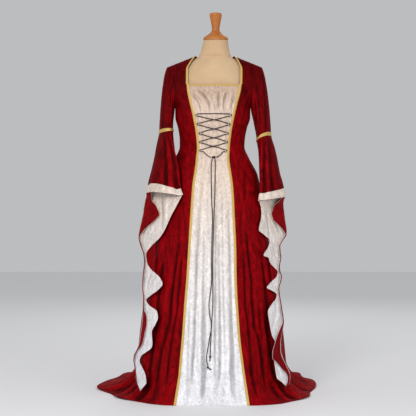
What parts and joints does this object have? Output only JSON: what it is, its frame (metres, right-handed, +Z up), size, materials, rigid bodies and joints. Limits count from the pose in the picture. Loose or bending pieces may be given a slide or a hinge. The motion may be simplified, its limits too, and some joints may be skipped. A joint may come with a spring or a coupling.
{
  "type": "medieval gown on a limbless dress form",
  "caption": "Long medieval gown of crushed velvet with a laced front insert, trailing bell sleeves and a train, worn by a limbless dress form on a round base.",
  "frame": {"origin": "centre of the underside of the stand's round base, on the floor", "axes": "+Z up, front of the gown towards -Y, +X to the right as seen from the front"},
  "size_m": [0.9461, 0.9634, 1.5905],
  "materials": {
    "velvet_red": "crushed velvet, deep red",
    "velvet_ivory": "crushed velvet, ivory and silver",
    "gold_braid": "woven metallic gold braid",
    "lace_cord": "dark plum braided lace",
    "loop_cord": "ivory cord",
    "form_cloth": "cream jersey",
    "cap_wood": "turned and varnished",
    "stand_metal": "satin black"
  },
  "bodies": {
    "root": {"front_side_left": "velvet_red", "front_side_right": "velvet_red", "back": "velvet_red", "front_insert": "velvet_ivory", "sleeve_upper_left": "velvet_red", "sleeve_upper_right": "velvet_red", "sleeve_bell_left": "velvet_red", "sleeve_bell_right": "velvet_red", "bell_lining_left": "velvet_ivory", "bell_lining_right": "velvet_ivory", "cuff_left": "velvet_ivory", "cuff_right": "velvet_ivory", "braid_left": "gold_braid", "braid_right": "gold_braid", "braid_top_edge": "gold_braid", "braid_back_neck": "gold_braid", "elbow_braid_left": "gold_braid", "elbow_braid_right": "gold_braid", "lacing": "lace_cord", "lace_knot": "lace_cord", "lace_tail_left": "lace_cord", "lace_tail_right": "lace_cord", "lace_end_left": "lace_cord", "lace_end_right": "lace_cord", "lace_loop_left_1": "loop_cord", "lace_loop_left_2": "loop_cord", "lace_loop_left_3": "loop_cord", "lace_loop_left_4": "loop_cord", "lace_loop_left_5": "loop_cord", "lace_loop_right_1": "loop_cord", "lace_loop_right_2": "loop_cord", "lace_loop_right_3": "loop_cord", "lace_loop_right_4": "loop_cord", "lace_loop_right_5": "loop_cord", "form_torso": "form_cloth", "form_cap": "cap_wood", "stand_pole": "stand_metal", "stand_base": "stand_metal"}
  },
  "joints": []
}
